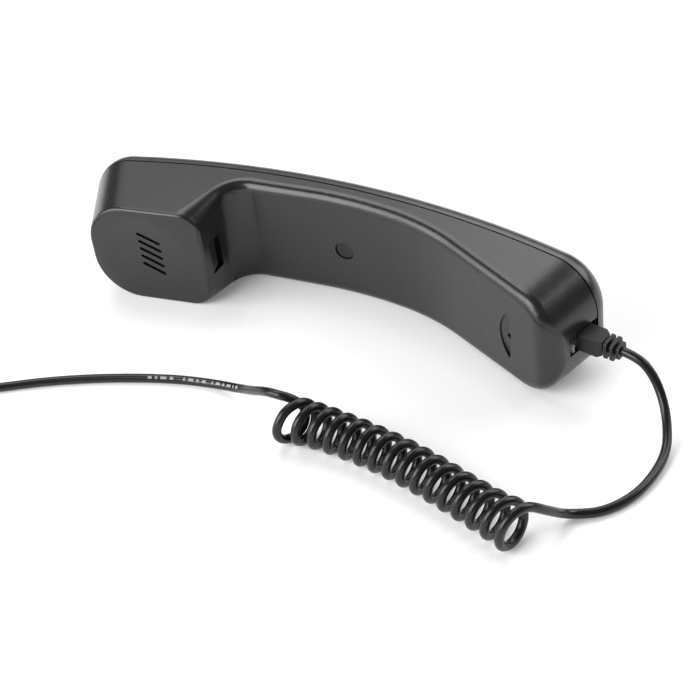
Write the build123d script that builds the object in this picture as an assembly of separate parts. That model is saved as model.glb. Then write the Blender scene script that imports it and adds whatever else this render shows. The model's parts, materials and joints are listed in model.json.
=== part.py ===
"""Corded telephone handset lying on its side, with its coiled cord and modular plugs.

Every piece is first drawn in the handset's own frame: X runs from the ear end (-) to the
mouth end (+), Y from the face that is held to the head (-) to the rounded back (+), and
Z = 0 is the plane of symmetry.  The side walls have moulding draft, so the finished set
is then tipped by that angle until its lower side wall lies flat on the floor, Z = 0.
The cord lies on that floor and is drawn there directly.
"""

import math
import os

from build123d import *

os.makedirs("parts", exist_ok=True)

# ---------------------------------------------------------------- driving dimensions, mm
# casing
HALF_WIDTH = 24.5            # half the width of the casing at the crown of the seam
DRAFT = 0.05                 # lean of each side wall, mm per mm of depth
WALL = 2.3                   # thickness of the moulded walls
CROWN_X = -2.0               # where the long curve of the back is highest
SEAM_Y = 14.8                # height of the seam there
SEAM_RADIUS = 370.0          # the seam is one long arc, seen from the side
BACK_DEPTH = 9.5             # depth of the back cover behind the seam
BACK_ROUND = 9.0             # rounding of the back cover's rim
FACE_ROUND = 4.2             # rounding between the front and the side walls
EAR_ROUND = 1.4              # rounding round the ear face
SEAM_GAP = 0.6               # shadow gap along the seam
SEAM_GAP_DEPTH = 1.1

# end walls: place at a given depth, and how far they lean out per mm towards the back
EAR_END_X, EAR_END_Y, EAR_LEAN = -97.3, -25.7, 0.455
MOUTH_END_X, MOUTH_END_Y, MOUTH_LEAN = 101.4, -17.8, 0.34
FRONT_STATION = -32.0        # the casing's outline is given at these two depths
BACK_STATION = 26.0
EAR_CORNERS = (19.0, 17.5)   # corner radii of the outline, front and back station
MOUTH_CORNERS = (17.0, 19.5)

# side view of the front: ear face, inner wall of the ear cup, grip, mouth face
EAR_EDGE = (-49.5, -18.6)
EAR_SLOPE = 0.15
THROAT = (-47.7, 4.6)
GRIP_CREST = (2.3, 8.8)
GRIP_BEND = (36.1, 4.4)
MOUTH_TIP = (96.9, -25.4)
TIP_WALL = (130.0, 27.6)
FRONT_RADII = [11.0, 165.0, 95.0, 8.0]
CUP_ROUND = 9.0              # rounding of the cup's inner corners at the ear face
CUP_ROUND_SHRINKS = 0.30     # how much less it is per mm towards the grip
CUP_ROUND_LENGTH = 18.0
REACH = 130.0                # half length of the tool solids, past both ends

# ear face
DISH_X = -75.5
DISH_RADIUS = 18.5
DISH_DEPTH = 0.8
SLOT_COUNT = 5
SLOT_X = -72.1
SLOT_Z = 1.0
SLOT_PITCH = 3.75
SLOT_LENGTH = 10.4
SLOT_WIDTH = 1.5
SLOT_ANGLE = -26.0

# receiver (ear speaker)
RECEIVER_RADIUS = 15.0
RECEIVER_RIM = 1.2
RECEIVER_CUP_RADIUS = 11.0
RECEIVER_DEPTH = 6.0
GASKET_THICKNESS = 1.2
CLOTH_RADIUS = 13.0
CLOTH_THICKNESS = 0.25
MAGNET_RADIUS = 6.5
MAGNET_THICKNESS = 2.4
COIL_RADIUS = 8.0
CONE_THICKNESS = 0.35

# hanging pocket in the inner wall of the ear cup
POCKET_ALONG = 6.8           # along the wall
POCKET_WIDTH = 15.0
POCKET_DEPTH = 3.0
POCKET_SHALLOW = 0.2         # depth at its shallow end
POCKET_STEP = 0.9            # depth at the foot of its ramp
POCKET_SLOT = 2.3            # width of the deep slot next to the grip
POCKET_SIDE_SLOT = 1.0       # width of the slot along its lower side
POCKET_Z = -1.2
POCKET_FROM_EDGE = 7.9       # middle of the pocket, from the ear face's edge

# screw and cover in the grip
CREST_DROP = 1.05            # from the crest's corner down to the rounded surface
SCREW_X = -1.5
SCREW_Z = -1.5
COVER_RADIUS = 3.75
COVER_GAP = 0.2
COVER_THICKNESS = 1.4
COVER_SUNK = 0.6
SCREW_SEAT = 5.2             # depth of the screw's seat under the grip surface
SCREW_HEAD_RADIUS = 2.8
SCREW_HEAD = 2.0
SCREW_RADIUS = 1.5
SCREW_LENGTH = 9.0
BOSS_RADIUS = 5.6

# microphone
MIC_X = 77.8
MIC_Z = -2.0
MIC_HOLE_RADIUS = 1.15
MIC_RADIUS = 3.0
MIC_LENGTH = 2.7
MIC_BOOT_WALL = 1.2
SCOOP_RADIUS = 15.5
SCOOP_FAR_RADIUS = 45.0      # its flatter side, towards the mouth end
SCOOP_WIDTH = 6.1            # width of the lens-shaped scoop
SCOOP_EDGE = 1.5             # its flatter side, from the microphone hole
SCOOP_SHALLOW, SCOOP_DEPTH = 0.45, 1.1
SCOOP_Z = -1.4

# modular plug, four contacts, and its jack
PLUG_ANGLE = -10.0           # direction in which the plug points out, in the side view
PLUG_AT = (104.2, -8.3)      # its axis, at the outer face of the end wall
PLUG_WIDTH = 7.65
PLUG_THICKNESS = 6.5
PLUG_NOSE = -14.0            # along the axis, from the wall
PLUG_REAR = -0.5
CONTACT_PITCH = 1.02
CONTACT_COUNT = 4
LATCH_WIDTH = 3.4
LATCH_THICKNESS = 1.0
LATCH_ANGLE = 15.5
LATCH_LENGTH = 13.8
BOOT_SIZE = 8.0
BOOT_BLOCK = 7.2
BOOT_WAIST = 9.3
BOOT_WAIST_HIGH, BOOT_WAIST_DEEP = 5.8, 6.2
BOOT_NECK_RADIUS = 2.3
BOOT_END = 16.0
RING_CORNER = 1.3
JACK_WINDOW = 9.0            # width of the window in the end wall
JACK_WINDOW_EDGE = -8.0      # front edge of the window, measured from the plug's axis
JACK_FRONT = -4.8
JACK_BACK = -16.8
JACK_HALF_WIDTH = 5.8
BOARD_AT = 4.6               # circuit board, from the plug's axis
BOARD_THICKNESS = 1.6
BOARD_LENGTH = 32.0
BOARD_HALF_WIDTH = 11.5
BOARD_END = -4.8             # end of the board nearest the end wall
BOARD_SCREW_X = -29.0
BOARD_SCREW_Z = 8.0
BOARD_SCREW_RADIUS = 1.1
JACK_LOW = -8.4
CONTACT_WIRE_AT = 3.8        # the jack's spring wires, from the plug's axis
TAIL_AT = -14.2              # where they turn through the board
LATCH_HINGE = (-12.8, -4.05)
BOOT_RINGS = ((10.2, 11.4, 7.4), (12.8, 14.0, 7.4), (15.0, 16.0, 5.6))    # start, end and size of each
MIC_PAD_X = -25.5            # solder pads of the microphone wires

# ballast
BALLAST = (34.0, 6.0, 30.0)
BALLAST_X = 30.0
BALLAST_Y = 14.2
BALLAST_TILT = -4.7
BALLAST_SCREW_SPACING = 22.0

# tongue of the back shell, inside the seam
TONGUE = 1.2
TONGUE_REACH = 2.0

# wires inside
WIRE_RADIUS = 0.55
WIRE_APART = 0.8
WIRE_LANE_Z = 17.6
WIRE_LAND_Z = 5.0

# cord, on the floor
CORD_RADIUS = 1.75
CURL_RADIUS = 8.4
STORED_RADIUS = 19.0         # put-away coil, at the middle of its turns
STORED_BUNDLE = 4.9
TIE_THICKNESS = 0.7
TIE_WIDTH = 3.6
TIE_AT = 215.0

# small walls and clearances
RIB = 1.5                    # thickness of ribs and small walls inside
FIT = 0.2                    # clearance round located pieces
TINY = 0.003                 # keeps two tangent surfaces from coinciding


# ---------------------------------------------------------------- helpers
def half_width(y):
    """Half the casing's width at a depth."""
    return HALF_WIDTH + DRAFT * (y - SEAM_Y)


def rounded_outline(y, inset, ear_corner, mouth_corner):
    """Outline of the casing at one depth, seen from the front."""
    low = EAR_END_X - EAR_LEAN * (y - EAR_END_Y) + inset
    high = MOUTH_END_X + MOUTH_LEAN * (y - MOUTH_END_Y) - inset
    half = half_width(y) - inset
    ear = ear_corner - inset
    mouth = mouth_corner - inset
    station = Plane(origin=(0, y, 0), x_dir=(1, 0, 0), z_dir=(0, -1, 0))
    with BuildSketch(station) as sketch:
        with BuildLine():
            Line((low + ear, -half), (high - mouth, -half))
            RadiusArc((high - mouth, -half), (high, mouth - half), -mouth)
            Line((high, mouth - half), (high, half - mouth))
            RadiusArc((high, half - mouth), (high - mouth, half), -mouth)
            Line((high - mouth, half), (low + ear, half))
            RadiusArc((low + ear, half), (low, half - ear), -ear)
            Line((low, half - ear), (low, ear - half))
            RadiusArc((low, ear - half), (low + ear, -half), -ear)
        make_face()
    return sketch.sketch.faces()[0].outer_wire()


def plan_solid(inset):
    """Side walls and end walls of the casing, moved in by inset: flat walls and ruled corners."""
    front = rounded_outline(FRONT_STATION, inset, EAR_CORNERS[0], MOUTH_CORNERS[0])
    back = rounded_outline(BACK_STATION, inset, EAR_CORNERS[1], MOUTH_CORNERS[1])
    faces = [Face(front), Face(back)]
    for near, far in zip(front.edges(), back.edges()):
        if near.geom_type == GeomType.LINE:
            faces.append(Face(Wire.make_polygon([near @ 0, near @ 1, far @ 1, far @ 0])))
        else:
            faces.append(Face.make_surface_from_curves(near, far))
    return Solid(Shell(faces))


def front_face():
    """Everything behind the front surface, in the side view."""
    ear_far = (-REACH, EAR_EDGE[1] - EAR_SLOPE * (REACH + EAR_EDGE[0]))
    with BuildSketch() as sketch:
        with BuildLine():
            FilletPolyline(EAR_EDGE, THROAT, GRIP_CREST, GRIP_BEND, MOUTH_TIP, TIP_WALL, radius=FRONT_RADII)
            Polyline(TIP_WALL, (REACH, 70), (-REACH, 70), ear_far, EAR_EDGE)
        make_face()
    return sketch.sketch.faces()[0]


def back_disc(radius):
    """The long curve of the back, or of the seam."""
    return Pos(CROWN_X, SEAM_Y - SEAM_RADIUS, 0) * Cylinder(radius, 80)


def rim(faces):
    """The edges round a group of faces, without those inside the group."""
    found = {}
    for face in faces:
        for edge in face.edges():
            middle = edge.center()
            key = (round(middle.X, 2), round(middle.Y, 2), round(middle.Z, 2), round(edge.length, 2))
            found.setdefault(key, []).append(edge)
    return [edges[0] for edges in found.values() if len(edges) == 1]


def cup_corner(inset):
    """What the rounding takes off the cup's upper inner corner: a wedge outside a tapering cone."""
    along = Vector(THROAT[0] - EAR_EDGE[0], THROAT[1] - EAR_EDGE[1], 0).normalized()
    wall_out = Vector(along.Y, -along.X, 0)
    side_out = Vector(0, -DRAFT, 1).normalized()
    to_corner = (wall_out + side_out) / (1 + wall_out.dot(side_out))
    centres = []
    for distance in (-CUP_ROUND_LENGTH / 2, CUP_ROUND_LENGTH):
        x, y = EAR_EDGE[0] + distance * along.X, EAR_EDGE[1] + distance * along.Y
        radius = CUP_ROUND - CUP_ROUND_SHRINKS * distance
        centres.append((Vector(x, y, half_width(y)) - to_corner * radius, radius))
    (start, wide), (end, narrow) = centres
    axis = (end - start).normalized()
    length = (end - start).length
    slant = math.cos(math.asin((wide - narrow) / length))
    middle = Plane(origin=(start + end) / 2, z_dir=axis)
    cone = middle * Cone((wide - inset) / slant + TINY, (narrow - inset) / slant + TINY, length)
    sides = [(side - axis * side.dot(axis)).normalized() * 3 * wide for side in (wall_out, side_out)]
    section = make_face(Polyline(start, start + sides[0], start + sides[0] + sides[1], start + sides[1], close=True))
    return Solid.extrude(section.face(), axis * length) - cone


def is_front(normal):
    """Whether a flat face with this normal belongs to the front, not to a side wall or end wall."""
    return abs(normal.Z) < 0.1 and normal.X < 0.9


def curved_back(solid, radius):
    """The faces of a solid that lie on the long curve of that radius."""
    return [
        face for face in solid.faces() if face.geom_type == GeomType.CYLINDER and abs(face.radius - radius) < 0.1
    ]


def on_front(x, y, z, direction):
    """A plane on the casing's front: X along the surface, Y across it, Z out of the casing."""
    turn = math.radians(direction)
    return Plane(
        origin=(x, y, z),
        x_dir=(math.cos(turn), math.sin(turn), 0),
        z_dir=(math.sin(turn), -math.cos(turn), 0),
    )


def disc(radius, shallow, deep):
    """A round slab between two depths under the surface."""
    return Pos(0, 0, -(shallow + deep) / 2) * Cylinder(radius, deep - shallow)


def block(x, y, z):
    """A box from its ranges along X, Y and Z."""
    return Pos((x[0] + x[1]) / 2, (y[0] + y[1]) / 2, (z[0] + z[1]) / 2) * Box(
        x[1] - x[0], y[1] - y[0], z[1] - z[0]
    )


def tube(points, radii, section_radius):
    """A round tube along straight runs joined by arcs."""
    path = FilletPolyline(*points, radius=radii)
    start = Plane(origin=path @ 0, z_dir=path % 0)
    return sweep(start * Circle(section_radius), path=path)


def bend_radii(points):
    """The largest arc at each corner of a route that its two runs allow."""
    radii = []
    for before, here, after in zip(points, points[1:], points[2:]):
        first = Vector(*here) - Vector(*before)
        second = Vector(*after) - Vector(*here)
        half_turn = math.radians(first.get_angle(second)) / 2
        radii.append(0.45 * min(first.length, second.length) / math.tan(half_turn))
    return radii


def save(name, shape):
    """Write one piece."""
    export_step(shape, f"parts/{name}.step")


# ---------------------------------------------------------------- casing, outside
def outer_casing():
    """The whole closed casing with all its outside rounding."""
    casing = (plan_solid(0) & extrude(front_face(), 40, both=True) & back_disc(SEAM_RADIUS + BACK_DEPTH)).solid()
    front = [
        face
        for face in casing.faces()
        if (face.geom_type == GeomType.CYLINDER and face.radius < 200)
        or (face.geom_type == GeomType.PLANE and face.center().X > EAR_EDGE[0] and is_front(face.normal_at()))
    ]
    corners = [edge for edge in rim(front) if abs(edge.center().Z) > 1 or edge.center().X > 0]
    casing = casing.fillet(FACE_ROUND, corners)
    casing = casing.fillet(BACK_ROUND, rim(curved_back(casing, SEAM_RADIUS + BACK_DEPTH)))
    corner = cup_corner(0)
    casing = (casing - corner - mirror(corner, about=Plane.XY)).solid()
    ear_face = [
        face
        for face in casing.faces()
        if face.geom_type == GeomType.PLANE and face.center().X < EAR_EDGE[0] and face.normal_at().Y < -0.9
    ]
    return casing.fillet(EAR_ROUND, rim(ear_face))


def casing_cavity():
    """The hollow inside both shells."""
    hollow = (
        plan_solid(WALL)
        & extrude(offset(front_face(), -WALL), 40, both=True)
        & back_disc(SEAM_RADIUS + BACK_DEPTH - WALL)
    ).solid()
    corner = cup_corner(WALL)
    hollow = hollow.fillet(BACK_ROUND - WALL, rim(curved_back(hollow, SEAM_RADIUS + BACK_DEPTH - WALL)))
    return (hollow - corner - mirror(corner, about=Plane.XY)).solid()


outer = outer_casing()
cavity = casing_cavity()
below_seam = back_disc(SEAM_RADIUS)
gap_ring = (back_disc(SEAM_RADIUS + SEAM_GAP) - back_disc(SEAM_RADIUS - 0.01)) - plan_solid(SEAM_GAP_DEPTH)

# ---------------------------------------------------------------- reference planes
ear_angle = math.degrees(math.atan(EAR_SLOPE))
ear_y = EAR_EDGE[1] + EAR_SLOPE * (DISH_X - EAR_EDGE[0])
EAR = on_front(DISH_X, ear_y, 0, ear_angle)
SLOTS = on_front(SLOT_X, ear_y + EAR_SLOPE * (SLOT_X - DISH_X), SLOT_Z, ear_angle)

inner_wall_angle = math.degrees(math.atan2(THROAT[1] - EAR_EDGE[1], THROAT[0] - EAR_EDGE[0]))
pocket_x = EAR_EDGE[0] + POCKET_FROM_EDGE * math.cos(math.radians(inner_wall_angle))
pocket_y = EAR_EDGE[1] + POCKET_FROM_EDGE * math.sin(math.radians(inner_wall_angle))
POCKET = on_front(pocket_x, pocket_y, POCKET_Z, inner_wall_angle)

mouth_slope = (MOUTH_TIP[1] - GRIP_BEND[1]) / (MOUTH_TIP[0] - GRIP_BEND[0])
mouth_angle = math.degrees(math.atan(mouth_slope))
mic_y = GRIP_BEND[1] + mouth_slope * (MIC_X - GRIP_BEND[0])
MIC = on_front(MIC_X, mic_y, MIC_Z, mouth_angle)

GRIP = on_front(SCREW_X, GRIP_CREST[1] - CREST_DROP, SCREW_Z, 0)

plug_turn = math.radians(PLUG_ANGLE)
PLUG = Plane(origin=(*PLUG_AT, 0), x_dir=(math.cos(plug_turn), math.sin(plug_turn), 0), z_dir=(0, 0, 1))

# ---------------------------------------------------------------- front shell
front_shell = (outer & below_seam) - cavity
front_solid = outer & below_seam

# locating ring round the receiver
receiver_bore = RECEIVER_RADIUS + FIT
front_shell += EAR * (disc(receiver_bore + RIB, 0.5, WALL + 5) - disc(receiver_bore, 0, WALL + 6)) & front_solid

# thicker wall behind the hanging pocket, clear of the receiver
pocket_pad = POCKET * block(
    (-POCKET_ALONG / 2 - RIB, POCKET_ALONG / 2 + RIB),
    (-POCKET_WIDTH / 2 - RIB, POCKET_WIDTH / 2 + RIB),
    (-POCKET_DEPTH - RIB, -0.5),
)
front_shell += pocket_pad & front_solid
front_shell -= EAR * disc(receiver_bore, WALL, WALL + 9)

# boss for the case screw
front_shell += GRIP * disc(BOSS_RADIUS, 1, SCREW_SEAT + 1.8)

# holder for the microphone's rubber boot
mic_outer = MIC_RADIUS + MIC_BOOT_WALL
front_shell += MIC * (disc(mic_outer + RIB, 0.8, WALL + 5) - disc(mic_outer, 0, WALL + 6))

# sound openings and the shallow dish round them
dish_sphere = (DISH_RADIUS**2 + DISH_DEPTH**2) / (2 * DISH_DEPTH)
front_shell -= EAR * Pos(0, 0, dish_sphere - DISH_DEPTH) * Sphere(dish_sphere)
for number in range(SLOT_COUNT):
    across = (number - (SLOT_COUNT - 1) / 2) * SLOT_PITCH
    slot = Pos(0, across, -WALL - 1) * extrude(SlotOverall(SLOT_LENGTH, SLOT_WIDTH, rotation=SLOT_ANGLE), WALL + 3)
    front_shell -= SLOTS * slot

# hanging pocket: a shallow ramp, with a deep slot next to the grip and along its lower side
ramp_foot = POCKET_ALONG / 2 - POCKET_SLOT
ramp_side = [
    (-POCKET_ALONG / 2, 1),
    (-POCKET_ALONG / 2, -POCKET_SHALLOW),
    (ramp_foot, -POCKET_STEP),
    (ramp_foot, -POCKET_DEPTH),
    (POCKET_ALONG / 2, -POCKET_DEPTH),
    (POCKET_ALONG / 2, 1),
]
pocket_ramp = extrude(Plane.XZ * make_face(Polyline(*ramp_side, close=True)), POCKET_WIDTH / 2, both=True)
front_shell -= POCKET * pocket_ramp
front_shell -= POCKET * block(
    (1 - POCKET_ALONG / 2, ramp_foot), (-POCKET_WIDTH / 2, POCKET_SIDE_SLOT - POCKET_WIDTH / 2), (-POCKET_DEPTH, 1)
)

# screw recess with its seat, and the clearance hole under it
front_shell -= GRIP * disc(COVER_RADIUS + COVER_GAP, -3, SCREW_SEAT)
front_shell -= GRIP * disc(SCREW_RADIUS + FIT, 0, SCREW_SEAT + 4)

# microphone hole in a lens-shaped scoop, deepest at its flatter side
scoop_tilt = math.degrees(math.atan2(SCOOP_DEPTH - SCOOP_SHALLOW, SCOOP_WIDTH))
scoop_plan = Pos(SCOOP_EDGE - SCOOP_WIDTH + SCOOP_RADIUS, 0, 0) * Cylinder(SCOOP_RADIUS, 30)
scoop_plan &= Pos(SCOOP_EDGE - SCOOP_FAR_RADIUS, 0, 0) * Cylinder(SCOOP_FAR_RADIUS, 30)
above_scoop = Pos(SCOOP_EDGE, 0, -SCOOP_DEPTH) * Rot(0, scoop_tilt, 0) * Pos(0, 0, 15) * Box(60, 60, 30)
front_shell -= MIC * Pos(0, SCOOP_Z - MIC_Z, 0) * (scoop_plan & above_scoop)
front_shell -= MIC * disc(MIC_HOLE_RADIUS, -1, WALL + 1)

# window for the modular plug, open to the seam
window = PLUG * block((-8, 12), (JACK_WINDOW_EDGE, 25), (-JACK_WINDOW / 2, JACK_WINDOW / 2))
front_shell -= window

# ---------------------------------------------------------------- back shell
back_solid = outer - below_seam
back_shell = (back_solid - cavity) - gap_ring

# tongue that stands inside the front shell all along the seam
tongue = plan_solid(WALL + FIT) - plan_solid(WALL + FIT + TONGUE)
tongue &= back_disc(SEAM_RADIUS + 1.5) - back_disc(SEAM_RADIUS - TONGUE_REACH)
tongue -= PLUG * block((-20, 12), (-30, 30), (-BOARD_HALF_WIDTH - 1, BOARD_HALF_WIDTH + 1))
back_shell += tongue

# boss that takes the case screw
screw_line = GRIP * Pos(0, 0, -SCREW_SEAT - 1.8)
back_shell += screw_line * disc(BOSS_RADIUS - 1.6, 0, 30) & outer
back_shell -= screw_line * disc(SCREW_RADIUS, -1, SCREW_LENGTH)

# bosses for the ballast bar
BALLAST_PLACE = Pos(BALLAST_X, BALLAST_Y, 0) * Rot(0, 0, BALLAST_TILT)
ballast_back = BALLAST[1] / 2
for side in (-1, 1):
    stud = BALLAST_PLACE * Pos(side * BALLAST_SCREW_SPACING / 2, ballast_back, 0) * Rot(90, 0, 0)
    back_shell += stud * disc(SCREW_RADIUS + RIB, 0, 30) & outer
    back_shell -= stud * disc(SCREW_RADIUS, -1, 3)

# bosses for the circuit board
for side in (-1, 1):
    stud = PLUG * Pos(BOARD_SCREW_X, BOARD_AT + BOARD_THICKNESS, side * BOARD_SCREW_Z) * Rot(90, 0, 0)
    back_shell += stud * disc(BOARD_SCREW_RADIUS + RIB, 0, 40) & outer
    back_shell -= stud * disc(BOARD_SCREW_RADIUS, -1, 5)

# ---------------------------------------------------------------- screw and its cover
case_screw = GRIP * disc(SCREW_HEAD_RADIUS, SCREW_SEAT - SCREW_HEAD, SCREW_SEAT)
case_screw += GRIP * disc(SCREW_RADIUS, SCREW_SEAT, SCREW_SEAT + SCREW_LENGTH)
for turn in (0, 90):
    slot_bar = Pos(0, 0, -SCREW_SEAT + SCREW_HEAD) * Rot(0, 0, turn) * Box(3.2, 0.7, 2.2)
    case_screw -= GRIP * slot_bar

skirt = COVER_THICKNESS + COVER_SUNK
screw_cover = disc(COVER_RADIUS, COVER_SUNK, skirt) + disc(COVER_RADIUS - 0.4, skirt - 0.1, skirt + 1.1)
screw_cover -= disc(COVER_RADIUS - 1.2, skirt, skirt + 3)
screw_cover = GRIP * screw_cover.solid().fillet(0.25, screw_cover.edges().group_by(Axis.Z)[-1])

# ---------------------------------------------------------------- receiver, stacked behind the ear face
face = WALL
dust_cloth = EAR * disc(CLOTH_RADIUS - 0.4, face, face + CLOTH_THICKNESS)
foam_ring = EAR * (
    disc(RECEIVER_RADIUS, face, face + GASKET_THICKNESS) - disc(CLOTH_RADIUS, 0, face + GASKET_THICKNESS + 1)
)
rim_top = face + GASKET_THICKNESS
shelf = rim_top + 0.8
cup_floor = rim_top + RECEIVER_DEPTH
receiver_frame = disc(RECEIVER_RADIUS, rim_top, shelf + 0.6)
receiver_frame += disc(RECEIVER_CUP_RADIUS, shelf, cup_floor)
receiver_frame -= disc(RECEIVER_RADIUS - 2.6, 0, shelf)
receiver_frame -= disc(RECEIVER_CUP_RADIUS - 0.8, 0, cup_floor - 0.8)
receiver_frame = EAR * receiver_frame

cone_line = [
    (0, 0.55),
    (5.2, 0.4),
    (COIL_RADIUS, -0.7),
    (RECEIVER_CUP_RADIUS - 1, CONE_THICKNESS),
    (RECEIVER_RADIUS - 2.6, CONE_THICKNESS),
]
cone_under = [(radius, height - CONE_THICKNESS) for radius, height in reversed(cone_line)]
cone_half = Plane.XZ * make_face(Polyline(*cone_line, *cone_under, close=True))
receiver_cone = EAR * Pos(0, 0, -shelf) * revolve(cone_half, Axis.Z)

coil_top = shelf + 0.7 + CONE_THICKNESS
voice_coil = EAR * (disc(COIL_RADIUS + 0.4, coil_top, coil_top + 2.2) - disc(COIL_RADIUS - 0.4, 0, 20))
receiver_magnet = EAR * disc(MAGNET_RADIUS, cup_floor - 0.8 - MAGNET_THICKNESS, cup_floor - 0.8)
receiver_terminals = EAR * block((-4.5, 4.5), (-3, 3), (-cup_floor - 0.4, -cup_floor))

# ---------------------------------------------------------------- microphone
mic_front = WALL
mic_seat = mic_front + MIC_BOOT_WALL
mic_back = mic_seat + MIC_LENGTH
microphone_boot = MIC * (
    disc(mic_outer, mic_front, mic_back + 0.3) - disc(MIC_RADIUS, mic_seat, mic_back + 1) - disc(1.2, 0, mic_seat + 1)
)
microphone_capsule = MIC * disc(MIC_RADIUS, mic_seat, mic_back)

# ---------------------------------------------------------------- ballast bar and its screws
ballast_bar = Box(*BALLAST)
ballast_bar = ballast_bar.fillet(1, ballast_bar.edges().filter_by(Axis.Y))
ballast_bar = BALLAST_PLACE * ballast_bar
ballast_screws = []
for side in (-1, 1):
    hole = BALLAST_PLACE * Pos(side * BALLAST_SCREW_SPACING / 2, -ballast_back, 0) * Rot(90, 0, 0)
    ballast_bar -= hole * disc(SCREW_RADIUS + FIT, -1, BALLAST[1] + 1)
    screw = disc(SCREW_HEAD_RADIUS, -1.6, 0) + disc(SCREW_RADIUS, 0, BALLAST[1] + 2.6)
    ballast_screws.append(hole * (screw - Pos(0, 0, 1.6) * Box(3.6, 0.7, 1.4)))

# ---------------------------------------------------------------- jack on its circuit board
board_back = BOARD_AT + BOARD_THICKNESS
circuit_board = block(
    (BOARD_END - BOARD_LENGTH, BOARD_END), (BOARD_AT, board_back), (-BOARD_HALF_WIDTH, BOARD_HALF_WIDTH)
)
board_screws = []
for side in (-1, 1):
    place = Pos(BOARD_SCREW_X, BOARD_AT, side * BOARD_SCREW_Z) * Rot(90, 0, 0)
    circuit_board -= place * disc(BOARD_SCREW_RADIUS + 0.15, -1, BOARD_THICKNESS + 1)
    screw = disc(2, -1.3, 0) + disc(BOARD_SCREW_RADIUS, 0, BOARD_THICKNESS + 4)
    board_screws.append(PLUG * place * (screw - Pos(0, 0, 1.3) * Box(2.6, 0.6, 1.2)))

jack_housing = block((JACK_BACK, JACK_FRONT), (JACK_LOW, BOARD_AT), (-JACK_HALF_WIDTH, JACK_HALF_WIDTH))
plug_room = PLUG_THICKNESS / 2 + 0.3
side_room = PLUG_WIDTH / 2 + 0.2
jack_housing -= block((PLUG_NOSE - 1, 1), (-plug_room, plug_room), (-side_room, side_room))
latch_room = LATCH_WIDTH / 2 + 0.5
jack_housing -= block((PLUG_NOSE - 1, 1), (JACK_LOW + 1, 0), (-latch_room, latch_room))
wire_room = CONTACT_PITCH * (CONTACT_COUNT - 1) / 2 + 0.6
jack_housing -= block((PLUG_NOSE - 1, JACK_FRONT - 1.5), (0, CONTACT_WIRE_AT + 0.35), (-wire_room, wire_room))
jack_housing -= block((TAIL_AT - 0.6, TAIL_AT + 0.6), (0, BOARD_AT + 1), (-wire_room, wire_room))

jack_contacts = []
for number in range(CONTACT_COUNT):
    across = (number - (CONTACT_COUNT - 1) / 2) * CONTACT_PITCH
    circuit_board -= Pos(TAIL_AT, BOARD_AT, across) * Rot(90, 0, 0) * disc(0.3, -1, BOARD_THICKNESS + 1)
    wire = [
        (JACK_FRONT - 2.5, CONTACT_WIRE_AT, across),
        (TAIL_AT, CONTACT_WIRE_AT, across),
        (TAIL_AT, board_back + 1, across),
    ]
    jack_contacts.append(PLUG * tube(wire, [0.5], 0.2))
circuit_board = PLUG * circuit_board
jack_housing = PLUG * jack_housing


# ---------------------------------------------------------------- modular plug, drawn along X
def modular_plug():
    """The four-contact plug: clear body, contacts, latch lever and moulded boot."""
    body = block((PLUG_NOSE, PLUG_REAR), (-PLUG_THICKNESS / 2, PLUG_THICKNESS / 2), (-PLUG_WIDTH / 2, PLUG_WIDTH / 2))
    body = body.fillet(0.4, body.edges().filter_by(Axis.X))
    blades = []
    for number in range(CONTACT_COUNT):
        across = (number - (CONTACT_COUNT - 1) / 2) * CONTACT_PITCH
        room = (across - 0.17, across + 0.17)
        body -= block((PLUG_NOSE + 0.5, PLUG_NOSE + 3.5), (0.8, PLUG_THICKNESS), room)
        blades.append(block((PLUG_NOSE + 0.5, PLUG_NOSE + 3.5), (0.8, PLUG_THICKNESS / 2 - 0.15), room))

    lever_side = [
        (0, LATCH_THICKNESS / 2),
        (LATCH_LENGTH, LATCH_THICKNESS / 2),
        (LATCH_LENGTH, -LATCH_THICKNESS / 2),
        (6.8, -LATCH_THICKNESS / 2),
        (6.6, -LATCH_THICKNESS / 2 - 0.6),
        (2.4, -LATCH_THICKNESS / 2),
        (0, -LATCH_THICKNESS / 2),
    ]
    lever = extrude(make_face(Polyline(*lever_side, close=True)), LATCH_WIDTH / 2, both=True)
    lever = Pos(*LATCH_HINGE, 0) * Rot(0, 0, -LATCH_ANGLE) * lever

    half = BOOT_SIZE / 2
    high, deep = BOOT_WAIST_HIGH / 2, BOOT_WAIST_DEEP / 2
    from_side = [(PLUG_REAR, -half), (BOOT_BLOCK, -half), (BOOT_WAIST, -high)]
    from_side += [(BOOT_WAIST, high), (BOOT_BLOCK, half), (PLUG_REAR, half)]
    from_top = [(PLUG_REAR, -half), (BOOT_BLOCK, -half), (BOOT_WAIST, -deep)]
    from_top += [(BOOT_WAIST, deep), (BOOT_BLOCK, half), (PLUG_REAR, half)]
    boot = extrude(make_face(Polyline(*from_side, close=True)), half, both=True)
    boot &= extrude(Plane.XZ * make_face(Polyline(*from_top, close=True)), half, both=True)
    boot = boot.solid().fillet(0.5, boot.edges().filter_by(Axis.X))
    along = Rot(0, 90, 0)
    boot += Pos((BOOT_WAIST + BOOT_END) / 2 - 0.5, 0, 0) * along * Cylinder(BOOT_NECK_RADIUS, BOOT_END - BOOT_WAIST + 1)
    for start, end, size in BOOT_RINGS:
        ring = Box(end - start, size, size)
        ring = ring.fillet(RING_CORNER, ring.edges().filter_by(Axis.X))
        boot += Pos((start + end) / 2, 0, 0) * ring
    return body, blades, lever, boot


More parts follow.
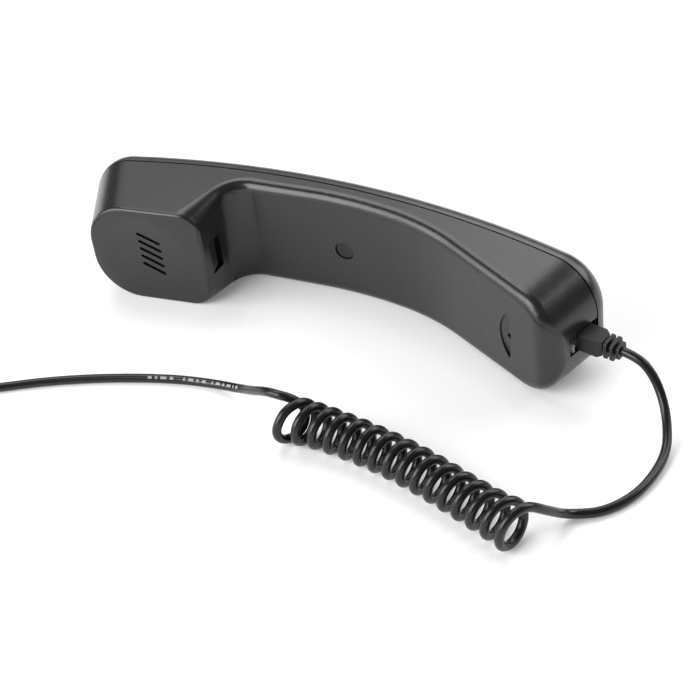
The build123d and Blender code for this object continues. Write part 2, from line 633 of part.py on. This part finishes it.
# ---------------------------------------------------------------- wires inside
pad_line = PLUG * Pos(BOARD_END - BOARD_LENGTH + 2.5, board_back, 0)
inner_wires = {}
for name, side in (("red", 1), ("black", -1)):
    solder = EAR * Pos(side * 3, 0, -cup_floor - 0.4)
    landing = pad_line * Pos(0, 0, WIRE_LAND_Z + side * WIRE_APART)
    lane = WIRE_LANE_Z + side * WIRE_APART
    route = [
        tuple(solder.position),
        tuple((solder * Pos(0, 0, -5)).position),
        (-62, 4.0, 7 + side),
        (-42, 14.0, lane),
        (-5, 17.2, lane + 0.4),
        (38, 15.0, lane),
        (60, 12.0, lane - 2.5),
        tuple((landing * Pos(0, 6, 0)).position),
        tuple(landing.position),
    ]
    inner_wires[f"receiver_wire_{name}"] = tube(route, bend_radii(route), WIRE_RADIUS)

    solder = MIC * Pos(side * 1.3, 0, -mic_back)
    landing = PLUG * Pos(MIC_PAD_X + side * 1.3, BOARD_AT, MIC_Z - 2.5)
    route = [
        tuple(solder.position),
        tuple((solder * Pos(0, 0, -3.2)).position),
        tuple((landing * Pos(0, -3.4, 0)).position),
        tuple(landing.position),
    ]
    inner_wires[f"microphone_wire_{name}"] = tube(route, bend_radii(route), WIRE_RADIUS)

# ---------------------------------------------------------------- tip onto the floor
tip = Rot(math.degrees(math.atan(DRAFT)), 0, 0)
box = (tip * outer).bounding_box()
wall_drop = half_width(0) * math.cos(math.atan(DRAFT))
REST = Pos(-box.center().X, -box.center().Y, wall_drop) * tip

plug_body, plug_contacts, plug_latch, plug_boot = [
    [PLUG * item for item in piece] if isinstance(piece, list) else PLUG * piece for piece in modular_plug()
]
handset = {
    "front_shell": front_shell,
    "back_shell": back_shell,
    "case_screw": case_screw,
    "screw_cover": screw_cover,
    "dust_cloth": dust_cloth,
    "foam_ring": foam_ring,
    "receiver_frame": receiver_frame,
    "receiver_cone": receiver_cone,
    "voice_coil": voice_coil,
    "receiver_magnet": receiver_magnet,
    "receiver_terminals": receiver_terminals,
    "microphone_boot": microphone_boot,
    "microphone_capsule": microphone_capsule,
    "ballast_bar": ballast_bar,
    "ballast_screws": ballast_screws,
    "circuit_board": circuit_board,
    "board_screws": board_screws,
    "jack_housing": jack_housing,
    "jack_contacts": jack_contacts,
    "plug_body": plug_body,
    "plug_contacts": plug_contacts,
    "plug_latch": plug_latch,
    "plug_boot": plug_boot,
    **inner_wires,
}
for name, shape in handset.items():
    pieces = shape if isinstance(shape, list) else [shape]
    placed = [REST * piece for piece in pieces]
    save(name, placed[0] if len(placed) == 1 else Compound(children=placed))

# ---------------------------------------------------------------- cord, on the floor
cord_exit = (REST * (PLUG * Pos(BOOT_END, 0, 0))).position
lead_route = [
    tuple(cord_exit),
    (128.0, -11.9, 22.6),
    (134.5, -13.3, 17.6),
    (139.0, -16.6, 11.4),
    (142.2, -23.2, 6.0),
    (144.9, -33.0, 2.4),
    (145.6, -45.5, CORD_RADIUS),
    (142.6, -58.5, CORD_RADIUS),
    (135.5, -69.0, CORD_RADIUS),
    (127.5, -73.2, CORD_RADIUS),
    (124.0, -77.2, 4.4),
    (122.6, -82.0, 8.4),
    (120.6, -86.6, 10.6),
    (118.5, -90.5, 11.0),
]
curl_route = [
    (118.0, -94.9, CURL_RADIUS),
    (94.7, -87.0, CURL_RADIUS),
    (69.2, -78.5, CURL_RADIUS),
    (46.0, -73.9, CURL_RADIUS),
    (24.0, -72.0, CURL_RADIUS),
    (15.0, -73.8, CURL_RADIUS),
]
tail_route = [
    (15.5, -72.6, 13.5),
    (9.4, -71.6, 15.4),
    (4.6, -69.6, 13.8),
    (-1.2, -66.6, 10.8),
    (-7.4, -63.0, 7.0),
    (-13.6, -60.6, 4.0),
    (-20.5, -59.5, 2.3),
    (-29.0, -60.2, CORD_RADIUS),
    (-39.0, -62.4, CORD_RADIUS),
    (-52.0, -66.6, CORD_RADIUS),
    (-68.0, -73.0, CORD_RADIUS),
    (-85.0, -81.4, CORD_RADIUS),
    (-101.0, -91.6, CORD_RADIUS),
    (-118.5, -103.3, 2.6),
    (-129.0, -108.6, 4.5),
]
STORED_CENTER = (-139.5, -92.0)
FAR_BOOT_END = (-161.0, -70.2, 4.05)
end_route = [
    (-157.6, -94.2, 4.9),
    (-160.0, -82.2, 4.5),
    FAR_BOOT_END,
]


def report(name, points, radius):
    """Print a cord piece's bend radii and compare its volume with section times length."""
    radii = bend_radii(points)
    path = FilletPolyline(*points, radius=radii)
    solid = tube(points, radii, radius)
    expected = math.pi * radius**2 * path.length
    print(f"{name}: length {path.length:.1f}, radii {[round(r, 1) for r in radii]}")
    print(f"{name}: volume ratio {solid.volume / expected:.4f}")
    return solid


save("cord_lead", report("cord_lead", lead_route, CORD_RADIUS))
save("coiled_cord", report("coiled_cord", curl_route, CURL_RADIUS))
save("cord_tail", report("cord_tail", tail_route, CORD_RADIUS))
save("cord_end", report("cord_end", end_route, CORD_RADIUS))

# put-away turns, and the tie round them
ring_place = Pos(*STORED_CENTER, STORED_BUNDLE + TIE_THICKNESS)
stored_coil = ring_place * Torus(STORED_RADIUS, STORED_BUNDLE)
save("stored_coil", stored_coil)
band = Torus(STORED_RADIUS, STORED_BUNDLE + TIE_THICKNESS) - Torus(STORED_RADIUS, STORED_BUNDLE)
band &= Pos(0, -STORED_RADIUS, 0) * Box(TIE_WIDTH, 30, 30)
save("coil_tie", ring_place * Rot(0, 0, TIE_AT) * band)

far_place = Plane(
    origin=(FAR_BOOT_END[0], FAR_BOOT_END[1] + BOOT_END, FAR_BOOT_END[2]), x_dir=(0, -1, 0), z_dir=(0, 0, 1)
)
for name, piece in zip(("body", "contacts", "latch", "boot"), modular_plug()):
    pieces = piece if isinstance(piece, list) else [piece]
    placed = [far_place * item for item in pieces]
    save(f"far_plug_{name}", placed[0] if len(placed) == 1 else Compound(children=placed))
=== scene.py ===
import json
import math

import bpy
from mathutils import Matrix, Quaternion, Vector


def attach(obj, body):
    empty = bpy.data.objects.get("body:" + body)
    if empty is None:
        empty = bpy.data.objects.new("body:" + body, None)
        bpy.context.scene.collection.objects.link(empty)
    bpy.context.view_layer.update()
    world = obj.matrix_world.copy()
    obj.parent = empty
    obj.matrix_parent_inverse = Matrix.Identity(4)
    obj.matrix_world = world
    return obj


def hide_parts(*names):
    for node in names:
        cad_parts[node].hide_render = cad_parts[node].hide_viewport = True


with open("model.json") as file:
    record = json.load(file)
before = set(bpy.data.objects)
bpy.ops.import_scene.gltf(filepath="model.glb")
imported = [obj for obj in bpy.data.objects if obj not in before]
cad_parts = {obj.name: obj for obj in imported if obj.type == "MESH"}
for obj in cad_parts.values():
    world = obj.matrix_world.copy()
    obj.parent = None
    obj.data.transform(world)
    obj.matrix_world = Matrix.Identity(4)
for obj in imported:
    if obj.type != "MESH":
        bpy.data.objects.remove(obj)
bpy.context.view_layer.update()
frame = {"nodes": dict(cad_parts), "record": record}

MM = 0.001
UP = Vector((0, 0, 1))


def add_object(name, data):
    """A new object in the scene."""
    obj = bpy.data.objects.new(name, data)
    bpy.context.scene.collection.objects.link(obj)
    return obj


def in_metres(points):
    """Points given in millimetres, as vectors in metres."""
    return [Vector(point) * MM for point in points]


# ---------------------------------------------------------------- camera
CAMERA_AZIMUTH = 30.67       # degrees, seen from the front and right
CAMERA_ELEVATION = 39.55
CAMERA_TILT = 6.2            # the picture's right side points this far below level
CAMERA_DISTANCE = 0.6722
CAMERA_LENS = 94.44
CAMERA_SENSOR = 36.0
LOOK_AT = Vector((0.0278, -0.0435, 0.0215))


def make_camera():
    """The camera, rolled a little about its own line of sight."""
    azimuth = math.radians(CAMERA_AZIMUTH)
    elevation = math.radians(CAMERA_ELEVATION)
    back = Vector(
        (
            math.sin(azimuth) * math.cos(elevation),
            -math.cos(azimuth) * math.cos(elevation),
            math.sin(elevation),
        )
    )
    camera = add_object("camera", bpy.data.cameras.new("camera"))
    camera.data.lens = CAMERA_LENS
    camera.data.sensor_width = CAMERA_SENSOR
    camera.rotation_mode = "QUATERNION"
    level = (-back).to_track_quat("-Z", "Y")
    camera.rotation_quaternion = Quaternion(-back, math.radians(CAMERA_TILT)) @ level
    camera.location = LOOK_AT + back * CAMERA_DISTANCE
    bpy.context.scene.camera = camera


make_camera()

# ---------------------------------------------------------------- cord
CORD_RADIUS = 1.75 * MM
LINE_STEPS = 8               # steps of the smooth line between two of its points
SECTION_STEPS = 5            # fineness of the cord's round section

# from the boot down to the floor, forwards round the loop, and up to the first turn
LEAD = [
    (120.769, -10.627, 23.177),
    (127.7, -11.9, 23.0),
    (133.6, -13.5, 18.0),
    (138.4, -16.9, 11.6),
    (142.5, -23.4, 6.2),
    (145.8, -33.0, 2.4),
    (145.6, -45.5, 1.75),
    (142.6, -58.5, 1.75),
    (135.5, -69.0, 1.75),
    (127.5, -73.2, 1.75),
    (124.0, -77.2, 4.4),
    (122.6, -82.0, 9.2),
    (120.6, -86.6, 13.9),
]
# from the last turn's top down to the floor, and left to the put-away coil
TAIL = [
    (17.2, -70.8, 17.0),
    (13.6, -72.2, 18.5),
    (9.2, -71.7, 18.0),
    (4.6, -69.6, 15.5),
    (-1.2, -66.6, 11.4),
    (-7.4, -63.0, 7.1),
    (-13.6, -60.6, 4.0),
    (-20.5, -59.5, 2.3),
    (-29.0, -60.2, 1.75),
    (-39.0, -62.4, 1.75),
    (-52.0, -66.6, 1.75),
    (-68.0, -73.0, 1.75),
    (-85.0, -81.4, 1.75),
    (-101.0, -91.6, 1.75),
    (-118.5, -103.3, 2.6),
    (-130.5, -108.6, 4.5),
]
# from the coil into the far plug's boot
CORD_END = [
    (-157.6, -94.2, 4.9),
    (-160.0, -82.2, 4.5),
    (-161.0, -70.2, 4.05),
]


def nurbs_curve(name, points):
    """An open NURBS line through the space near its points, starting and ending on them."""
    curve = bpy.data.curves.new(name, "CURVE")
    curve.dimensions = "3D"
    spline = curve.splines.new("NURBS")
    spline.points.add(len(points) - 1)
    for target, point in zip(spline.points, points):
        target.co = (*point, 1.0)
        target.radius = CORD_RADIUS
    spline.order_u = 3
    spline.use_endpoint_u = True
    curve.resolution_u = LINE_STEPS
    return add_object(name, curve)


def read_line(points):
    """Points along the smooth line of a route, and the distance of each from its start."""
    guide = nurbs_curve("guide", points)
    bpy.context.view_layer.update()
    mesh = bpy.data.meshes.new_from_object(guide)
    line = [vertex.co.copy() for vertex in mesh.vertices]
    bpy.data.objects.remove(guide)
    bpy.data.meshes.remove(mesh)
    along = [0.0]
    for before, here in zip(line, line[1:]):
        along.append(along[-1] + (here - before).length)
    return line, along


def place_on(line, along, distance):
    """The point and direction at a distance along a line, or straight on past its end."""
    last = next((i for i, d in enumerate(along) if i > 0 and d >= distance), len(along) - 1)
    direction = (line[last] - line[last - 1]).normalized()
    return line[last] + direction * (distance - along[last]), direction


def spread(count):
    """How far out the points of a round turn lie, so that its line has the right radius."""
    return 8 / (6 + 2 * math.cos(math.tau / count))


# the line on the floor under the middle of the curls, from right to left
CURL_AXIS = [
    (119.3, -95.4, 0),
    (94.7, -87.0, 0),
    (69.2, -78.5, 0),
    (46.0, -73.9, 0),
    (22.7, -72.0, 0),
    (17.0, -74.7, 0),
]
CURL_MEAN = 6.64 * MM        # radius of the curls, at the middle of the wire
CURL_POINTS = 14             # points of the cord's line in each turn
CURL_TURNS = 15              # from the first turn's lowest point to the last one's
CURL_START = -30.0           # degrees from the top, over the front, of the first point
CURL_END = 180.0 + CURL_TURNS * 360.0 + 112.0
PITCH = 6.56 * MM
FIRST_TOP = 5.72 * MM        # where the first turn's top would be along the axis
LEAN = math.radians(2.2)     # each turn's top is this far ahead of its bottom
FADE = 1.2                   # turns over which the loose ends tighten into the even middle
# the two loose ends: how much wider, how far pushed together, and how far turned
RIGHT_WIDER, RIGHT_PUSHED, RIGHT_TURNED = 1.84 * MM, -2.47 * MM, math.radians(-3.1)
LEFT_WIDER, LEFT_PUSHED, LEFT_TURNED = 1.38 * MM, -2.83 * MM, math.radians(-51.7)


def curl_points():
    """The helix, from right to left: over the top, down the front, back along the floor."""
    line, along = read_line(in_metres(CURL_AXIS))
    points = []
    steps = round((CURL_END - CURL_START) / 360.0 * CURL_POINTS)
    for step in range(steps + 1):
        turn = CURL_START + (CURL_END - CURL_START) * step / steps
        turns = turn / 360.0
        right = math.exp(-max(turns, 0.0) / FADE)
        left = math.exp(-max(CURL_TURNS + 0.5 - turns, 0.0) / FADE)
        distance = FIRST_TOP + PITCH * turns + RIGHT_PUSHED * right + LEFT_PUSHED * left
        centre, direction = place_on(line, along, distance)
        direction.rotate(Quaternion(UP, RIGHT_TURNED * right + LEFT_TURNED * left))
        radius = CURL_MEAN + RIGHT_WIDER * right + LEFT_WIDER * left
        front = UP.cross(direction)
        top = UP + direction * LEAN
        angle = math.radians(turn)
        ring = top * math.cos(angle) + front * math.sin(angle)
        lifted = centre + UP * (radius + CORD_RADIUS)
        points.append(lifted + ring * radius * spread(CURL_POINTS))
    return points


STORED_POINTS = 16           # points of the cord's line in each put-away turn
STORED_RADIUS = 19.0 * MM
STORED_CENTER = Vector((-139.5, -92.0, 0)) * MM
STORED_START = -63.0         # degrees, where the cord runs onto the coil
STORED_TURN = 6 * 360.0 + 100.0
STORED_CHANGE = 0.75         # share of a turn after which the cord moves over to the next place
# places of the put-away turns in their bundle: outwards from the middle turn, and up
STORED_PLACES = [
    (3.4, 3.05),
    (1.75, 0),
    (-1.75, 0),
    (-3.4, 3.05),
    (0, 3.05),
    (-1.75, 6.1),
    (1.75, 6.1),
    (1.75, 6.1),
]


def stored_points():
    """The put-away turns, wound clockwise seen from above, each beside or on the one before."""
    points = []
    steps = round(STORED_TURN / 360.0 * STORED_POINTS)
    for step in range(1, steps + 1):
        turned = STORED_TURN * step / steps
        number = int(turned // 360)
        share = (turned / 360 - number - STORED_CHANGE) / (1 - STORED_CHANGE)
        share = min(max(share, 0.0), 1.0)
        share = share * share * (3 - 2 * share)
        here, after = STORED_PLACES[number], STORED_PLACES[number + 1]
        outwards, up = (a + (b - a) * share for a, b in zip(here, after))
        angle = math.radians(STORED_START - turned)
        radius = (STORED_RADIUS + outwards * MM) * spread(STORED_POINTS)
        flat = Vector((math.cos(angle), math.sin(angle), 0)) * radius
        points.append(STORED_CENTER + flat + UP * (CORD_RADIUS + up * MM))
    return points


def cord_points():
    """The points of the whole cord, from the boot in the handset to the far boot."""
    seen = in_metres(LEAD) + curl_points() + in_metres(TAIL)
    return seen + stored_points() + in_metres(CORD_END)


def make_cord(points):
    """The whole cord as one line with a round section."""
    cord = nurbs_curve("handset_cord", points)
    cord.data.bevel_depth = 1.0  # times the radius that each point has
    cord.data.bevel_resolution = SECTION_STEPS
    cord.data.use_fill_caps = True
    return cord


MARKS_START_X = -10.0 * MM   # the row of printed marks starts here, and runs along the tail
MARK_GAP = 1.3 * MM
# lengths of the marks in millimetres, where 0 leaves a wider gap
MARK_LENGTHS = (
    1.6, 0.7, 2.3, 1.1, 1.9, 0.6, 0.0, 1.7, 1.0, 2.1, 0.8, 0.0, 0.0, 1.4, 2.4, 0.9, 1.5
)
MARK_HALF_WIDTH = math.radians(17)
MARK_SIDE = Vector((0.0, -0.62, 0.78))   # the side of the cord that they are on
MARK_RAISED, MARK_SUNK = 0.02 * MM, -0.15 * MM
MARK_STEPS = 5               # sections along a mark
# the section of a mark: height over the cord's surface, and share of the half width
MARK_SECTION = (
    (MARK_RAISED, -1),
    (MARK_RAISED, 0),
    (MARK_RAISED, 1),
    (MARK_SUNK, 1),
    (MARK_SUNK, -1),
)


def mark_sections(line, along, start, length):
    """Rings of five points each for one printed mark, which follows the cord's surface."""
    sections = []
    for step in range(MARK_STEPS):
        centre, direction = place_on(line, along, start + length * step / (MARK_STEPS - 1))
        side = (MARK_SIDE - direction * MARK_SIDE.dot(direction)).normalized()
        across = direction.cross(side)
        ring = []
        for height, turn in MARK_SECTION:
            angle = turn * MARK_HALF_WIDTH
            around = side * math.cos(angle) + across * math.sin(angle)
            ring.append(centre + around * (CORD_RADIUS + height))
        sections.append(ring)
    return sections


def make_marks(points):
    """A row of plain printed marks of no meaning along the tail."""
    line, along = read_line(points)
    start = along[max(i for i, place in enumerate(line) if place.x > MARKS_START_X)]
    sides = len(MARK_SECTION)
    vertices, faces = [], []
    for length in MARK_LENGTHS:
        if length > 0.0:
            first = len(vertices)
            for ring in mark_sections(line, along, start, length * MM):
                vertices += ring
            for step in range(MARK_STEPS - 1):
                near, far = first + step * sides, first + (step + 1) * sides
                for i in range(sides):
                    after = (i + 1) % sides
                    faces.append((near + i, near + after, far + after, far + i))
            last = first + (MARK_STEPS - 1) * sides
            faces.append([first + i for i in reversed(range(sides))])
            faces.append([last + i for i in range(sides)])
        start += length * MM + MARK_GAP
    mesh = bpy.data.meshes.new("cord_print")
    mesh.from_pydata(vertices, [], faces)
    return add_object("cord_print", mesh)


cord = make_cord(cord_points())
marks = make_marks(cord_points())
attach(cord, "cord_set")
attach(marks, "cord_set")
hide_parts("cord_lead", "coiled_cord", "cord_tail", "stored_coil", "cord_end")
ON_CORD = [frame["nodes"][f"far_plug_{part}"] for part in ("body", "contacts", "latch", "boot")]
ON_CORD += [frame["nodes"]["coil_tie"], marks]


# ---------------------------------------------------------------- shading
def new_material(name):
    """A material, its node tree and its Principled shader."""
    material = bpy.data.materials.new(name)
    material.use_nodes = True
    tree = material.node_tree
    return material, tree, tree.nodes["Principled BSDF"]


def noise(tree, scale, detail=3.0, rough=0.5):
    """A noise texture in object space."""
    place = tree.nodes.new("ShaderNodeTexCoord")
    texture = tree.nodes.new("ShaderNodeTexNoise")
    texture.inputs["Scale"].default_value = scale
    texture.inputs["Detail"].default_value = detail
    texture.inputs["Roughness"].default_value = rough
    tree.links.new(place.outputs["Object"], texture.inputs["Vector"])
    return texture.outputs["Fac"]


def stretched_noise(tree, scales, detail, turn):
    """A noise with its own scale along each axis, turned about Y."""
    place = tree.nodes.new("ShaderNodeTexCoord")
    mapping = tree.nodes.new("ShaderNodeMapping")
    mapping.inputs["Scale"].default_value = scales
    mapping.inputs["Rotation"].default_value = (0.0, turn, 0.0)
    texture = tree.nodes.new("ShaderNodeTexNoise")
    texture.inputs["Scale"].default_value = 1.0
    texture.inputs["Detail"].default_value = detail
    tree.links.new(place.outputs["Object"], mapping.inputs["Vector"])
    tree.links.new(mapping.outputs["Vector"], texture.inputs["Vector"])
    return texture.outputs["Fac"]


def remap(tree, value, to, source):
    """A value brought from the source range to another, and kept within it."""
    node = tree.nodes.new("ShaderNodeMapRange")
    node.inputs["From Min"].default_value, node.inputs["From Max"].default_value = source
    node.inputs["To Min"].default_value, node.inputs["To Max"].default_value = to
    tree.links.new(value, node.inputs["Value"])
    return node.outputs["Result"]


def near_place(tree, center, reach):
    """1 at a place, falling evenly to 0 at a distance from it."""
    place = tree.nodes.new("ShaderNodeTexCoord")
    offset = tree.nodes.new("ShaderNodeVectorMath")
    offset.operation = "DISTANCE"
    offset.inputs[1].default_value = center
    tree.links.new(place.outputs["Object"], offset.inputs[0])
    return remap(tree, offset.outputs["Value"], (1.0, 0.0), (0.0, reach))


def combine(tree, operation, *values):
    """The result of a sum or product of values, any of which may be a plain number."""
    node = tree.nodes.new("ShaderNodeMath")
    node.operation = operation
    for socket, value in zip(node.inputs, values):
        if isinstance(value, (int, float)):
            socket.default_value = value
        else:
            tree.links.new(value, socket)
    return node.outputs[0]


def mix_colors(tree, factor, first, second):
    """A colour between two colours."""
    node = tree.nodes.new("ShaderNodeMix")
    node.data_type = "RGBA"
    node.inputs[6].default_value = (*first, 1)
    node.inputs[7].default_value = (*second, 1)
    tree.links.new(factor, node.inputs[0])
    return node.outputs[2]


def bump(tree, height, distance, strength, shader):
    """Small relief of the surface."""
    node = tree.nodes.new("ShaderNodeBump")
    node.inputs["Distance"].default_value = distance
    node.inputs["Strength"].default_value = strength
    tree.links.new(height, node.inputs["Height"])
    tree.links.new(node.outputs["Normal"], shader.inputs["Normal"])


# ---------------------------------------------------------------- materials
NOISE_RANGE = (0.25, 0.75)   # values between which nearly all of a noise lies
GRAIN_STRENGTH = 0.6

CASING_IOR = 1.53
CASING_DARK, CASING_LIGHT = (0.0080, 0.0080, 0.0083), (0.0135, 0.0134, 0.0136)
CASING_ROUGHNESS = (0.24, 0.31)
CLOUD_SCALE, SPECK_SCALE = 14.0, 1900.0
CLOUD_SHARE, SPECK_SHARE = 0.6, 0.4
SPECK_RANGE = (0.35, 0.75)
WIPE_SCALES, WIPE_TURN = (90.0, 90.0, 420.0), 0.5
WIPE_RANGE = (0.3, 0.75)
WIPE_ROUGHNESS = (-0.008, 0.012)
HAND_PLACE, HAND_REACH = (0.0, 0.008, 0.024), 0.075
HAND_POLISH = -0.03          # change of roughness in the middle of the grip
FINE_GRAIN, COARSE_GRAIN = 5200.0, 1500.0
CASING_GRAIN_DEPTH, CASING_GRAIN_STRENGTH = 0.000025, 0.5


def casing_plastic():
    """Satin black ABS: spark-eroded grain, faint wiping marks, and a grip polished by hands."""
    material, tree, shader = new_material("casing")
    shader.inputs["IOR"].default_value = CASING_IOR
    cloudy = noise(tree, CLOUD_SCALE, 4.0, 0.55)
    specks = remap(tree, noise(tree, SPECK_SCALE, 2.0, 0.6), (0.0, 1.0), SPECK_RANGE)
    specks = combine(tree, "MULTIPLY", specks, SPECK_SHARE)
    tone = combine(tree, "MULTIPLY_ADD", cloudy, CLOUD_SHARE, specks)
    color = mix_colors(tree, tone, CASING_DARK, CASING_LIGHT)
    tree.links.new(color, shader.inputs["Base Color"])
    wiping = stretched_noise(tree, WIPE_SCALES, 3.0, WIPE_TURN)
    wiping = remap(tree, wiping, WIPE_ROUGHNESS, WIPE_RANGE)
    base = remap(tree, cloudy, CASING_ROUGHNESS, NOISE_RANGE)
    worn = combine(tree, "MULTIPLY", near_place(tree, HAND_PLACE, HAND_REACH), HAND_POLISH)
    rough = combine(tree, "ADD", combine(tree, "ADD", base, wiping), worn)
    tree.links.new(rough, shader.inputs["Roughness"])
    grain = combine(tree, "ADD", noise(tree, FINE_GRAIN, 2.0), noise(tree, COARSE_GRAIN))
    bump(tree, grain, CASING_GRAIN_DEPTH, CASING_GRAIN_STRENGTH, shader)
    return material


def surface(name, dark, light, roughness, grain, grain_depth, variation=18.0, metallic=0.0):
    """A general finish: mottled colour and roughness, and a fine grain."""
    material, tree, shader = new_material(name)
    shader.inputs["Metallic"].default_value = metallic
    mottling = noise(tree, variation, 4.0, 0.6)
    tree.links.new(mix_colors(tree, mottling, dark, light), shader.inputs["Base Color"])
    rough = remap(tree, mottling, roughness, NOISE_RANGE)
    tree.links.new(rough, shader.inputs["Roughness"])
    bump(tree, noise(tree, grain, 2.0), grain_depth, GRAIN_STRENGTH, shader)
    return material


def grey(value):
    """A grey colour."""
    return (value, value, value)


# of each finish: dark and light tone, roughness from and to, the grain's scale and depth, and
# where it isn't the usual, the scale of the mottling, and 1 for a metal
FINISHES = {
    "cord_jacket": (grey(0.006), grey(0.010), (0.20, 0.32), 2600, 0.00002),
    "plug_boot": (grey(0.006), grey(0.011), (0.42, 0.55), 4200, 0.00004),
    "inner_plastic": ((0.10, 0.10, 0.11), (0.14, 0.14, 0.15), (0.4, 0.5), 3000, 0.00002),
    "contact_gold": (
        (0.80, 0.60, 0.28), (0.88, 0.70, 0.36), (0.18, 0.3), 5000, 0.00001, 60, 1.0
    ),
    "steel": (
        (0.50, 0.51, 0.53), (0.62, 0.63, 0.65), (0.3, 0.42), 3500, 0.00001, 40, 1.0
    ),
    "magnet": (grey(0.12), grey(0.18), (0.55, 0.7), 1500, 0.00004),
    "copper": (
        (0.62, 0.28, 0.14), (0.75, 0.38, 0.2), (0.3, 0.4), 4000, 0.00002, 90, 1.0
    ),
    "board": ((0.006, 0.022, 0.010), (0.012, 0.036, 0.016), (0.3, 0.42), 2500, 0.00002),
    "cloth": (grey(0.003), grey(0.007), (0.8, 0.95), 6000, 0.00008),
    "foam": ((0.06, 0.06, 0.065), (0.10, 0.10, 0.105), (0.85, 0.95), 2200, 0.0001),
    "cone": ((0.55, 0.52, 0.44), (0.66, 0.64, 0.56), (0.25, 0.35), 900, 0.00002),
    "microphone_can": (
        (0.66, 0.66, 0.67), (0.76, 0.76, 0.77), (0.25, 0.35), 3000, 0.00001, 40, 1.0
    ),
    "rubber": (grey(0.006), grey(0.011), (0.42, 0.52), 2500, 0.00003),
    "red_wire": ((0.40, 0.02, 0.015), (0.55, 0.04, 0.03), (0.35, 0.45), 2500, 0.00001),
    "black_wire": (grey(0.015), grey(0.025), (0.35, 0.45), 2500, 0.00001),
    "tie": ((0.02, 0.02, 0.022), (0.035, 0.035, 0.038), (0.7, 0.9), 3500, 0.0001),
    "print": (grey(0.20), grey(0.42), (0.5, 0.6), 2500, 0.00001, 900),
    "clear_plug": ((0.80, 0.83, 0.82), (0.90, 0.92, 0.91), (0.06, 0.14), 2500, 0.00001),
}
# shader values that differ from the usual: soft plastics shine less, and the plug is clear
SOFT_SHINE = {"Specular IOR Level": 0.4}
SPECIAL = {
    "plug_boot": SOFT_SHINE,
    "cord_jacket": SOFT_SHINE,
    "rubber": SOFT_SHINE,
    "clear_plug": {"Transmission Weight": 0.88, "IOR": 1.58},
}


def make_materials():
    """All the materials, by name."""
    materials = {"casing": casing_plastic()}
    for name, finish in FINISHES.items():
        materials[name] = surface(name, *finish)
    for name, values in SPECIAL.items():
        shader = materials[name].node_tree.nodes["Principled BSDF"]
        for socket, value in values.items():
            shader.inputs[socket].default_value = value
    return materials


MATERIALS = make_materials()
SLOT_OF = {part["node"]: part["material_slot"] for part in frame["record"]["subparts"]}
for node_name, node in frame["nodes"].items():
    node.data.materials.clear()
    node.data.materials.append(MATERIALS[SLOT_OF[node_name]])
cord.data.materials.append(MATERIALS["cord_jacket"])
marks.data.materials.append(MATERIALS["print"])


# ---------------------------------------------------------------- floor and light
FLOOR_HALF = 6.0
FLOOR_COLOR = (0.93, 0.93, 0.93, 1)
FLOOR_ROUGHNESS, FLOOR_SHINE = 0.9, 0.1
WHITE = (1, 1, 1, 1)
FLOOR_GLOW = (0.14, 0.95)    # painted glow of the floor: near the object, which keeps shadows faint, and far away
FLOOR_REACH = 1.6            # distance from the middle at which the far glow is reached
FLOOR_NEAR = 0.8             # share of the way back to the middle at which the near glow starts
WORLD_BRIGHTNESS = 0.16
# direction from the object, distance, width, height and brightness of each softbox
SOFTBOXES = {
    "softbox_key": ((-0.39, -0.78, 0.49), 1.1, 0.5, 0.9, 7.0),
    "softbox_right": ((0.55, 0.68, 0.55), 1.2, 0.75, 0.75, 3.6),
    "softbox_left": ((-0.78, -0.50, 0.38), 1.1, 0.45, 0.7, 6.0),
    "softbox_above": ((-0.39, 0.25, 0.88), 1.2, 0.6, 0.55, 4.0),
    "softbox_back": ((-0.45, 0.66, 0.60), 1.5, 1.3, 1.1, 0.9),
    "softbox_mouth": ((-0.05, 0.75, 0.64), 1.0, 0.62, 0.6, 2.3),
}


def make_floor():
    """A plain pale floor under everything, with a painted glow that fades its cast shadows near
    the object and brightens it far away.
    """
    corners = [(-1, -1, 0), (1, -1, 0), (1, 1, 0), (-1, 1, 0)]
    mesh = bpy.data.meshes.new("floor")
    mesh.from_pydata([Vector(corner) * FLOOR_HALF for corner in corners], [], [(0, 1, 2, 3)])
    floor = add_object("floor", mesh)
    material, tree, shader = new_material("floor")
    shader.inputs["Base Color"].default_value = FLOOR_COLOR
    shader.inputs["Roughness"].default_value = FLOOR_ROUGHNESS
    shader.inputs["Specular IOR Level"].default_value = FLOOR_SHINE
    shader.inputs["Emission Color"].default_value = WHITE
    # painted light: the floor's own emission, dim near the middle and strong far out, lifts its
    # shadows
    near = near_place(tree, (0.0, 0.0, 0.0), FLOOR_REACH)
    glow = remap(tree, near, FLOOR_GLOW, (FLOOR_NEAR, 0.0))
    tree.links.new(glow, shader.inputs["Emission Strength"])
    floor.data.materials.append(material)


def make_softbox(name, direction, distance, width, height, brightness):
    """A soft light of a given brightness, seen from the object in a given direction."""
    light = add_object(name, bpy.data.lights.new(name, "AREA"))
    light.data.shape = "RECTANGLE"
    light.data.size = width
    light.data.size_y = height
    light.data.energy = brightness * math.pi * width * height
    direction = Vector(direction).normalized()
    light.location = LOOK_AT + direction * distance
    light.rotation_mode = "QUATERNION"
    light.rotation_quaternion = (-direction).to_track_quat("-Z", "Y")


def make_light():
    """Dim surroundings and the softboxes."""
    world = bpy.data.worlds.new("world")
    bpy.context.scene.world = world
    world.use_nodes = True
    background = world.node_tree.nodes["Background"]
    background.inputs["Color"].default_value = WHITE
    background.inputs["Strength"].default_value = WORLD_BRIGHTNESS
    for name, values in SOFTBOXES.items():
        make_softbox(name, *values)
    bpy.context.scene.view_settings.view_transform = "Standard"


make_floor()
make_light()
